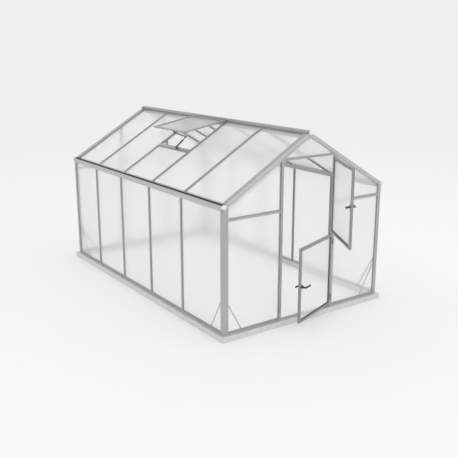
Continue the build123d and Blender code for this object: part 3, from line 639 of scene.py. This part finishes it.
@dataclass(frozen=True)
class MouldedPlastic:
    """Moulded plastic with a fine leathery skin."""

    colour: Colour
    roughness: float = 0.34
    spread: float = 0.05
    shade: tuple[float, float] = (0.95, 1.04)
    skin: float = 700.0
    skin_depth: float = 0.00008
    soil: float = 9.0
    coat: float = 0.0

    def make(self, name: str) -> bpy.types.Material:
        """Build the material.

        Args:
            name: the material's name.

        Returns:
            The material.
        """
        nodes = Nodes.of_material(name)
        soil = nodes.noise((self.soil,) * 3, detail=4.0)
        skin = nodes.noise((self.skin,) * 3, detail=3.0)
        bump = nodes.new("Bump", Height=skin, Distance=self.skin_depth, Strength=0.35)
        shader = nodes.new(
            "BsdfPrincipled",
            Base_Color=nodes.ramp(soil, *shades(self.colour, *self.shade)),
            Roughness=nodes.span(soil, self.roughness - self.spread, self.roughness + self.spread),
            Coat_Weight=self.coat,
            Normal=bump.outputs[0],
        )
        return nodes.finish(shader)


@dataclass(frozen=True)
class PaintedSteel:
    """Dark stoved paint over steel, worn thin in random patches."""

    colour: Colour = (0.10, 0.10, 0.11)
    metallic: float = 0.2
    roughness: tuple[float, float] = (0.32, 0.46)
    worn_shade: float = 1.6
    peel: float = 260.0
    peel_depth: float = 0.0001
    wear: float = 34.0

    def make(self, name: str) -> bpy.types.Material:
        """Build the material.

        Args:
            name: the material's name.

        Returns:
            The material.
        """
        nodes = Nodes.of_material(name)
        worn = nodes.noise((self.wear,) * 3, detail=5.0)
        peel = nodes.noise((self.peel,) * 3, detail=2.0)
        bump = nodes.new("Bump", Height=peel, Distance=self.peel_depth, Strength=0.3)
        shader = nodes.new(
            "BsdfPrincipled",
            Base_Color=nodes.ramp(worn, *shades(self.colour, 1.0, self.worn_shade),
                                  start=0.55, stop=0.9),
            Metallic=self.metallic,
            Roughness=nodes.span(worn, *self.roughness),
            Normal=bump.outputs[0],
        )
        return nodes.finish(shader)


@dataclass
class Finishes:
    """Every material of the house, made once."""

    pitch: float

    def __post_init__(self) -> None:
        """Make the materials."""
        frame_metal = ExtrudedAluminium()
        self.metal = {grain: frame_metal.make("aluminium_" + grain.value, grain, self.pitch)
                      for grain in Grain}
        # Verges and gutters get a paler copy of the aluminium: painted light, lighter than the other
        # sections.
        painted_light_metal = ExtrudedAluminium((0.54, 0.541, 0.543), metallic=0.7, roughness=0.45)
        self.pale = {grain: painted_light_metal.make("painted_light_aluminium_" + grain.value, grain, self.pitch)
                     for grain in (Grain.SLOPE, Grain.ALONG_Y)}
        # The door leaves' stiles and rails get a darker copy of the aluminium: painted shade.
        painted_shade_leaf_metal = ExtrudedAluminium((0.33, 0.333, 0.336))
        self.leaf = painted_shade_leaf_metal.make("aluminium_leaf", Grain.ALONG_Z, self.pitch)
        # The foot braces, seen through the sheets, get a much darker copy of the aluminium: painted
        # shade.
        painted_shade_brace_metal = ExtrudedAluminium((0.20, 0.202, 0.204), metallic=0.5, roughness=0.5)
        self.brace = painted_shade_brace_metal.make("aluminium_brace", Grain.MIXED, self.pitch)
        self.steel = GalvanisedSteel().make("galvanised_base")
        self.white = MouldedPlastic((0.80, 0.80, 0.80), coat=0.1).make("white_cap")
        self.black = MouldedPlastic((0.018, 0.018, 0.019)).make("black_handle")
        self.dark = PaintedSteel().make("dark_opener")
        self.seal = MouldedPlastic((0.26, 0.264, 0.265), roughness=0.6).make("glazing_bead")
        self.rubber = MouldedPlastic((0.045, 0.046, 0.047), roughness=0.7).make("black_rubber")
        self.zinc = GalvanisedSteel((0.60, 0.60, 0.59), crystal=300.0).make("zinc_screw")


def dress(frame: dict, finish: bpy.types.Material, *nodes: str) -> None:
    """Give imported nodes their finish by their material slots.

    Args:
        frame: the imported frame.
        finish: the material.
        nodes: names of the nodes.
    """
    for node in nodes:
        piece = frame["nodes"][node]
        if not piece.material_slots:
            piece.data.materials.append(finish)
        for slot in piece.material_slots:
            slot.material = finish
        LOG.info("%s: %s", node, finish.name)


SCREW_HEAD = ((0.0, -0.0006), (0.0042, -0.0006), (0.0042, 0.0004), (0.0037, 0.0016), (0.0024, 0.0024),
              (0.0011, 0.0026), (0.0009, 0.0014), (0.0, 0.0014))
BOLT_HEAD = ((0.0, -0.0006), (0.0075, -0.0006), (0.0075, 0.0010), (0.0058, 0.0011), (0.0056, 0.0038),
             (0.0042, 0.0050), (0.0, 0.0053))


@dataclass
class Shell:
    """The fixed house: sections, sheets, base, caps, beads and bolts.

    end_bolts gives the distance from the middle and the height of the bolts on the gables'
    braces, and side_bolts the distance from the gable and the height on the side walls'.
    """

    sizes: HouseSizes
    finishes: Finishes
    body: str = "house"
    # Roof sheets tinted lighter than the walls', the far slope's lighter still: painted light.
    painted_light_roof_tint: Colour = (0.955, 0.967, 0.956)
    painted_light_far_roof_tint: Colour = (0.987, 0.996, 0.988)
    bead_width: float = 0.0035
    bead_height: float = 0.0030
    foot_gap: float = 0.004
    gable_drop: float = 0.058
    shade_strip_width: float = 0.015
    # Dark strips in the gutters, painted shade for their hollows: width, height, drop below the slope
    # and distance from the gables.
    shade_strip_height: float = 0.003
    shade_strip_drop: float = 0.0015
    shade_strip_end: float = 0.03
    brace_in: float = 0.037
    end_bolts: Outline = ((1.1255, 0.474), (0.9075, 0.0855))
    side_bolts: Outline = ((0.0345, 0.534), (0.2845, 0.0855))

    def dress_sections(self, frame: dict) -> None:
        """Give each metal node the die lines of its own direction.

        Args:
            frame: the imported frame.
        """
        metal, pale = self.finishes.metal, self.finishes.pale
        dress(frame, metal[Grain.ALONG_X], "gable_sills", "door_head", "mid_rails")
        dress(frame, metal[Grain.ALONG_Y], "side_sills", "wall_heads", "eave_beams", "ridge_beam")
        dress(frame, metal[Grain.ALONG_Z], "corner_posts", "wall_bars", "door_posts", "back_mullions",
              "post_hinges")
        dress(frame, metal[Grain.SLOPE], "right_verge_legs", "left_verge_legs", "roof_bars")
        # Paler aluminium on verges and gutters is painted light.
        dress(frame, pale[Grain.SLOPE], "right_verges", "left_verges")
        dress(frame, pale[Grain.ALONG_Y], "gutters")
        dress(frame, self.finishes.steel, "base_ends", "base_sides")
        # The braces' dark aluminium is painted shade.
        dress(frame, self.finishes.brace, "foot_braces")
        dress(frame, self.finishes.white, "ball_caps")

    def dress_sheets(self, frame: dict) -> None:
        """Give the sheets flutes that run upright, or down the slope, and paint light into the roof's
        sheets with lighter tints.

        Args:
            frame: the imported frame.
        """
        quarter = math.pi / 2
        wall = FrostedSheet().make("side_sheet", quarter)
        # Lighter tints on the roof's sheets are painted light.
        roof = FrostedSheet(tint=self.painted_light_roof_tint).make("roof_sheet", quarter)
        painted_light_far_roof = FrostedSheet(tint=self.painted_light_far_roof_tint).make("painted_light_far_roof_sheet", quarter)
        gable = FrostedSheet().make("gable_sheet", 0.0)
        dress(frame, wall, "right_wall_sheets", "left_wall_sheets")
        dress(frame, roof, "left_roof_sheets")
        dress(frame, painted_light_far_roof, "right_roof_sheets")
        dress(frame, gable, "front_gable_sheets", "back_gable_sheets")

    def bead(self, outline: Outline, place: Place) -> Mesh:
        """The house's glazing bead round one opening."""
        return bead_ring(outline, self.bead_width, self.bead_height, place)

    def bays(self, margin: float) -> list[tuple[float, float]]:
        """Clear stretches along the house between the caps of its bars.

        Args:
            margin: distance of the first and last stretch from the gables.

        Returns:
            Start and end of each stretch, from front to back.
        """
        s = self.sizes
        starts = [margin] + [y + s.cap_half for y in s.bars]
        ends = [y - s.cap_half for y in s.bars] + [s.length - margin]
        return list(zip(starts, ends))

    def wall_beads(self) -> list[Mesh]:
        """Beads round the outside of the side wall sheets.

        Returns:
            One ring for each bay, on the left and then on the right.
        """
        s = self.sizes
        rings = []
        for side in (-1.0, 1.0):
            place = Place((side * (s.half_width - s.cap_depth), 0.0, 0.0), BACK, UP, (side, 0.0, 0.0))
            rings += [self.bead(box(y0, y1, s.sill_top, s.eave), place)
                      for y0, y1 in self.bays(s.post_wing)]
        return rings

    def roof_beads(self) -> list[Mesh]:
        """Beads round the outside of the roof sheets, below the vent on the left.

        Returns:
            One ring for each bay, on the left and then on the right.
        """
        s = self.sizes
        cos, sin = math.cos(s.pitch), math.sin(s.pitch)
        foot = (s.half_width - s.stop_in) / cos - self.foot_gap
        rings = []
        for side in (-1.0, 1.0):
            out = (side * sin, 0.0, cos)
            origin = (-out[0] * s.cap_depth, 0.0, s.ridge - out[2] * s.cap_depth)
            place = Place(origin, BACK, (side * cos, 0.0, -sin), out)
            for bay, (y0, y1) in enumerate(self.bays(s.verge_leg)):
                head = s.vent_foot if side < 0 and bay == s.vent_bay else s.ridge_lip
                rings.append(self.bead(box(y0, y1, head, foot), place))
        return rings

    def gable_beads(self) -> list[Mesh]:
        """Beads round the outside of both gables' sheets.

        Over the rail each top corner at x lies at the slope's height there less the drop. The
        back gable has one more sheet, between its mullions.

        Returns:
            The rings of the front gable and then of the back gable.
        """
        s = self.sizes
        outer = s.half_width - s.post_wing
        rings = []
        for y, out in ((s.cap_depth, -1.0), (s.length - s.cap_depth, 1.0)):
            place = Place((0.0, y, 0.0), (-out, 0.0, 0.0), UP, (0.0, out, 0.0))
            for x0, x1 in ((s.post_out, outer), (-outer, -s.post_out)):
                top0, top1 = (s.roof(abs(x)) - self.gable_drop for x in (x0, x1))
                raked = ((x0, s.rail_high), (x1, s.rail_high), (x1, top1), (x0, top0))
                rings += [self.bead(outline, place)
                          for outline in (box(x0, x1, s.sill_top, s.rail_low), raked)]
            if out > 0:
                rings.append(self.bead(box(-s.post_in, s.post_in, s.sill_top, s.rail_low), place))
        return rings

    def gutter_shade_strips(self) -> list[Mesh]:
        """Dark strips under the lower edges of the roof sheets, on the back wall of each gutter:
        painted shade for the gutter's shaded hollow, made as black rubber.

        Returns:
            One strip on each side.
        """
        s = self.sizes
        x = s.half_width - s.trough_in
        high = s.roof(x) - self.shade_strip_drop
        low = high - self.shade_strip_width
        return [strip(high - low, self.shade_strip_height, self.shade_strip_end, s.length - self.shade_strip_end,
                      Place((side * x, 0.0, (low + high) / 2), UP, BACK, (side, 0.0, 0.0)))
                for side in (-1.0, 1.0)]

    def brace_bolts(self) -> list[Mesh]:
        """Domed bolts at both ends of every foot brace, facing into the house.

        Returns:
            Four bolts in each corner of the house.
        """
        s = self.sizes
        spots = []
        for side in (-1.0, 1.0):
            for start, turn in ((0.0, 1.0), (s.length, -1.0)):
                spots += [((side * x, start + turn * self.brace_in, z), (0.0, turn, 0.0))
                          for x, z in self.end_bolts]
                spots += [((side * (s.half_width - self.brace_in), start + turn * y, z),
                           (-side, 0.0, 0.0)) for y, z in self.side_bolts]
        return [turned(BOLT_HEAD, upright(point, out)) for point, out in spots]

    def build(self, frame: dict) -> None:
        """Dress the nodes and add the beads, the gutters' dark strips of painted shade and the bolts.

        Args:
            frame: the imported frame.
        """
        self.dress_sections(frame)
        self.dress_sheets(frame)
        beads = joined(self.wall_beads() + self.roof_beads() + self.gable_beads())
        add_piece("glazing_beads", beads, self.finishes.seal, self.body)
        # Black rubber strips stand for the shade in the gutters' hollows: painted shade.
        add_piece("gutter_shade_strips", joined(self.gutter_shade_strips()), self.finishes.rubber, self.body)
        add_piece("brace_bolts", joined(self.brace_bolts()), self.finishes.zinc, self.body)


@dataclass
class DoorLeaf:
    """One half of the split door, hung on the right post and standing open.

    spindle_out is measured from the pin, hinge_screw from the middle of the leaf, and
    screw_end from the leaf's top or bottom.
    """

    finishes: Finishes
    name: str
    bottom: float
    top: float
    open_deg: float
    handle_z: float
    glazing: FrostedSheet = FrostedSheet()
    pin: tuple[float, float] = (0.378, -0.014)
    half: float = 0.368
    bar: float = 0.026
    front: float = -0.004
    sheet: float = 0.010
    bead_width: float = 0.008
    bead_height: float = 0.0035
    spindle_out: float = 0.690
    rose_thick: float = 0.005
    rose_screw: float = 0.0165
    plate_thick: float = 0.004
    hinge_screw: float = 0.355
    screw_end: float = 0.090

    def place(self, y: float, out: float) -> Place:
        """Axes on the open leaf: across along its width, along upwards, out to one side.

        Args:
            y: distance of the plane behind the gable's face while the leaf is shut.
            out: -1 for the outer face and 1 for the inner face.

        Returns:
            The place, with its origin under the middle of the leaf.
        """
        angle = math.radians(self.open_deg)
        cos, sin = math.cos(angle), math.sin(angle)
        dx, dy = -self.pin[0], y - self.pin[1]
        origin = (self.pin[0] + dx * cos - dy * sin, self.pin[1] + dx * sin + dy * cos, 0.0)
        return Place(origin, (cos, sin, 0.0), UP, (-out * sin, out * cos, 0.0))

    def faces(self, lift: float) -> list[Place]:
        """Axes at a lift over the sheet's outer and inner face."""
        middle = self.front + self.bar / 2
        return [self.place(middle + out * (self.sheet / 2 + lift), out) for out in (-1.0, 1.0)]

    def beads(self) -> Mesh:
        """Beads round the sheet on both faces.

        Returns:
            Both rings as one mesh.
        """
        clear = self.half - self.bar
        outline = box(-clear, clear, self.bottom + self.bar, self.top - self.bar)
        return joined([bead_ring(outline, self.bead_width, self.bead_height, place)
                       for place in self.faces(0.0)])

    def screws(self) -> Mesh:
        """Screws in the roses and in the hinge plates.

        Returns:
            All their heads as one mesh.
        """
        spindle = self.pin[0] - self.spindle_out
        plate = self.place(self.front - self.plate_thick, -1.0)
        spots = [place.at(spindle, self.handle_z + rise) for place in self.faces(self.rose_thick)
                 for rise in (-self.rose_screw, self.rose_screw)]
        spots += [plate.at(self.hinge_screw, z)
                  for z in (self.bottom + self.screw_end, self.top - self.screw_end)]
        return joined([turned(SCREW_HEAD, spot) for spot in spots])

    def build(self, frame: dict) -> None:
        """Dress the leaf's nodes and add its beads and screws.

        Args:
            frame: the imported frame.
        """
        leaf, finishes = self.name + "_leaf", self.finishes
        # The leaf's darker aluminium is painted shade.
        dress(frame, finishes.leaf, leaf + "_stiles", leaf + "_rails")
        dress(frame, finishes.metal[Grain.ALONG_Z], leaf + "_hinges")
        dress(frame, self.glazing.make(self.name + "_sheet", math.radians(self.open_deg)),
              leaf + "_sheet")
        dress(frame, finishes.black, self.name + "_handle_roses", self.name + "_levers")
        add_piece(leaf + "_beads", self.beads(), finishes.rubber, leaf)
        add_piece(leaf + "_screws", self.screws(), finishes.zinc, leaf)


@dataclass
class RoofVent:
    """The open vent in the left slope, with its opener.

    hinge_line gives X and Z of the bead that the sash hangs on; start and length are measured
    from it down the sash.
    """

    finishes: Finishes
    body: str = "house"
    # The vent's sheet is tinted darker than the other sheets: painted shade.
    glazing: FrostedSheet = FrostedSheet(tint=(0.83, 0.866, 0.838), clearness=0.90)
    tilt_deg: float = 9.95
    hinge_line: tuple[float, float] = (-0.0123, 2.150)
    y_from: float = 1.580
    y_to: float = 2.338
    start: float = 0.014
    length: float = 0.634
    bar: float = 0.028
    sheet: float = 0.010
    bead_width: float = 0.004
    bead_height: float = 0.003

    def place(self, up: float, out: float) -> Place:
        """Axes on the sash: across along +Y, along away from the ridge, out to one side.

        Args:
            up: distance of the plane over the sash's middle.
            out: 1 for the upper face and -1 for the lower face.

        Returns:
            The place, with its origin square to the hinge line.
        """
        tilt = math.radians(self.tilt_deg)
        cos, sin = math.cos(tilt), math.sin(tilt)
        origin = (self.hinge_line[0] - up * sin, 0.0, self.hinge_line[1] + up * cos)
        return Place(origin, BACK, (-cos, 0.0, -sin), (-out * sin, 0.0, out * cos))

    def beads(self) -> Mesh:
        """Beads round the sash's sheet, over and under."""
        outline = box(self.y_from + self.bar, self.y_to - self.bar, self.start + self.bar,
                      self.length - self.bar)
        return joined([bead_ring(outline, self.bead_width, self.bead_height,
                                 self.place(out * self.sheet / 2, out)) for out in (-1.0, 1.0)])

    def build(self, frame: dict) -> None:
        """Dress the vent's nodes and add its beads.

        Args:
            frame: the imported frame.
        """
        metal = self.finishes.metal
        dress(frame, metal[Grain.ALONG_Y], "vent_sill", "vent_cross_rails")
        dress(frame, metal[Grain.MIXED], "vent_side_rails")
        dress(frame, self.glazing.make("vent_sheet_frost", math.pi / 2), "vent_sheet")
        dress(frame, self.finishes.dark, "opener_brackets", "opener_arm", "opener_cylinder")
        add_piece("vent_beads", self.beads(), self.finishes.seal, self.body)


@dataclass
class Studio:
    """Camera, pale floor, soft world and one wide lamp.

    Shades are grey levels from 0 to 1. The floor runs from its near to its far shade between the
    two distances of its fade, as painted light: brighter round the house, darker far away.
    """

    eye: Triple = (-5.0375, -5.5869, 3.0820)
    yaw_deg: float = -35.237
    fall_deg: float = -15.011
    focal_px: float = 687.72
    image_px: int = 458
    sensor_mm: float = 36.0
    sight: float = 500.0
    floor_reach: float = 60.0
    floor_middle: float = 1.9
    floor_rings: int = 14
    floor_segments: int = 72
    # Near and far floor greys: painted light, brighter round the house.
    floor_near: float = 0.890
    floor_far: float = 0.815
    floor_roughness: float = 0.9
    fade: tuple[float, float] = (3.0, 14.0)
    world_light: float = 1.0
    world_seen: float = 0.87
    lamp_power: float = 0.30
    lamp_spread_deg: float = 70.0
    lamp_turn_deg: tuple[float, float] = (42.0, 18.0)

    def add_camera(self) -> None:
        """Stand the camera where the photograph was taken from, shifted by half a pixel."""
        data = bpy.data.cameras.new("camera")
        data.sensor_width = self.sensor_mm
        data.lens = self.focal_px / self.image_px * self.sensor_mm
        data.shift_y = -0.5 / self.image_px
        data.clip_end = self.sight
        camera = bpy.data.objects.new("camera", data)
        camera.location = self.eye
        camera.rotation_euler = (math.radians(90 + self.fall_deg), 0.0, math.radians(self.yaw_deg))
        bpy.context.scene.collection.objects.link(camera)
        bpy.context.scene.camera = camera

    def add_floor(self) -> None:
        """A round floor of flat rings, whose radius grows as the square of its step."""
        rings, segments = self.floor_rings, self.floor_segments
        radius = self.floor_reach * (np.arange(1, rings + 1) / rings) ** 2
        middle = np.array([[0.0, self.floor_middle, 0.0]])
        points = np.concatenate([rings_of(radius, np.zeros(rings), segments) + middle, middle])
        faces = as_faces(fan_faces(rings * segments, 0, segments))
        faces += as_faces(ring_faces(rings, segments)[:, ::-1])
        data = bpy.data.meshes.new("studio_floor")
        data.from_pydata(points.tolist(), [], faces)
        data.materials.append(self.floor_painted_falloff())
        floor = bpy.data.objects.new("studio_floor", data)
        bpy.context.scene.collection.objects.link(floor)

    def floor_painted_falloff(self) -> bpy.types.Material:
        """Matt pale paint, a little darker far away: painted light that falls off away from the house.

        Returns:
            The floor's material.
        """
        nodes = Nodes.of_material("studio_floor_painted_falloff")
        spot = nodes.new("VectorMath", operation="LENGTH", at0=nodes.place((1.0, 1.0, 1.0)))
        reach = nodes.new("MapRange", Value=spot.outputs["Value"], From_Min=self.fade[0],
                          From_Max=self.fade[1])
        shade = nodes.ramp(reach.outputs[0], (self.floor_near,) * 3, (self.floor_far,) * 3,
                           start=0.0, stop=1.0)
        return nodes.finish(nodes.new("BsdfPrincipled", Base_Color=shade,
                                      Roughness=self.floor_roughness, Specular_IOR_Level=0.0))

    def add_world(self) -> None:
        """Even light from all round; what is seen of it matches the floor."""
        nodes = Nodes(bpy.data.worlds.new("studio_world"), "OutputWorld")
        light, seen = (nodes.new("Background", Color=(shade, shade, shade, 1.0), Strength=1.0)
                       for shade in (self.world_light, self.world_seen))
        path = nodes.new("LightPath").outputs
        looked_at = nodes.math("MAXIMUM", path["Is Camera Ray"], path["Is Glossy Ray"])
        looked_at = nodes.math("MAXIMUM", looked_at, path["Is Transmission Ray"])
        mix = nodes.new("MixShader", at0=looked_at, at1=light.outputs[0], at2=seen.outputs[0])
        bpy.context.scene.world = nodes.finish(mix)

    def add_lamp(self) -> None:
        """A very wide soft sun, high in front and to the right."""
        data = bpy.data.lights.new("soft_sun", "SUN")
        data.energy = self.lamp_power
        data.angle = math.radians(self.lamp_spread_deg)
        lamp = bpy.data.objects.new("soft_sun", data)
        lamp.rotation_euler = (*(math.radians(turn) for turn in self.lamp_turn_deg), 0.0)
        bpy.context.scene.collection.objects.link(lamp)

    def build(self) -> None:
        """Set up the whole studio."""
        bpy.context.scene.view_settings.view_transform = "Standard"
        self.add_camera()
        self.add_floor()
        self.add_world()
        self.add_lamp()


def main() -> None:
    """Load the frame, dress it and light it."""
    logging.basicConfig(level=logging.INFO, format="%(message)s")
    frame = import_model()
    sizes = HouseSizes()
    finishes = Finishes(sizes.pitch)
    Shell(sizes, finishes).build(frame)
    DoorLeaf(finishes, "lower", bottom=0.096, top=0.956, open_deg=20.2, handle_z=0.508).build(frame)
    # The upper leaf's sheet is tinted lighter than the lower leaf's: painted light.
    DoorLeaf(finishes, "upper", bottom=0.988, top=1.858, open_deg=61.7, handle_z=1.440,
             glazing=FrostedSheet(tint=(0.982, 1.0, 0.986), clearness=0.70)).build(frame)
    RoofVent(finishes).build(frame)
    Studio().build()
    bpy.context.view_layer.update()


if __name__ == "__main__":
    main()
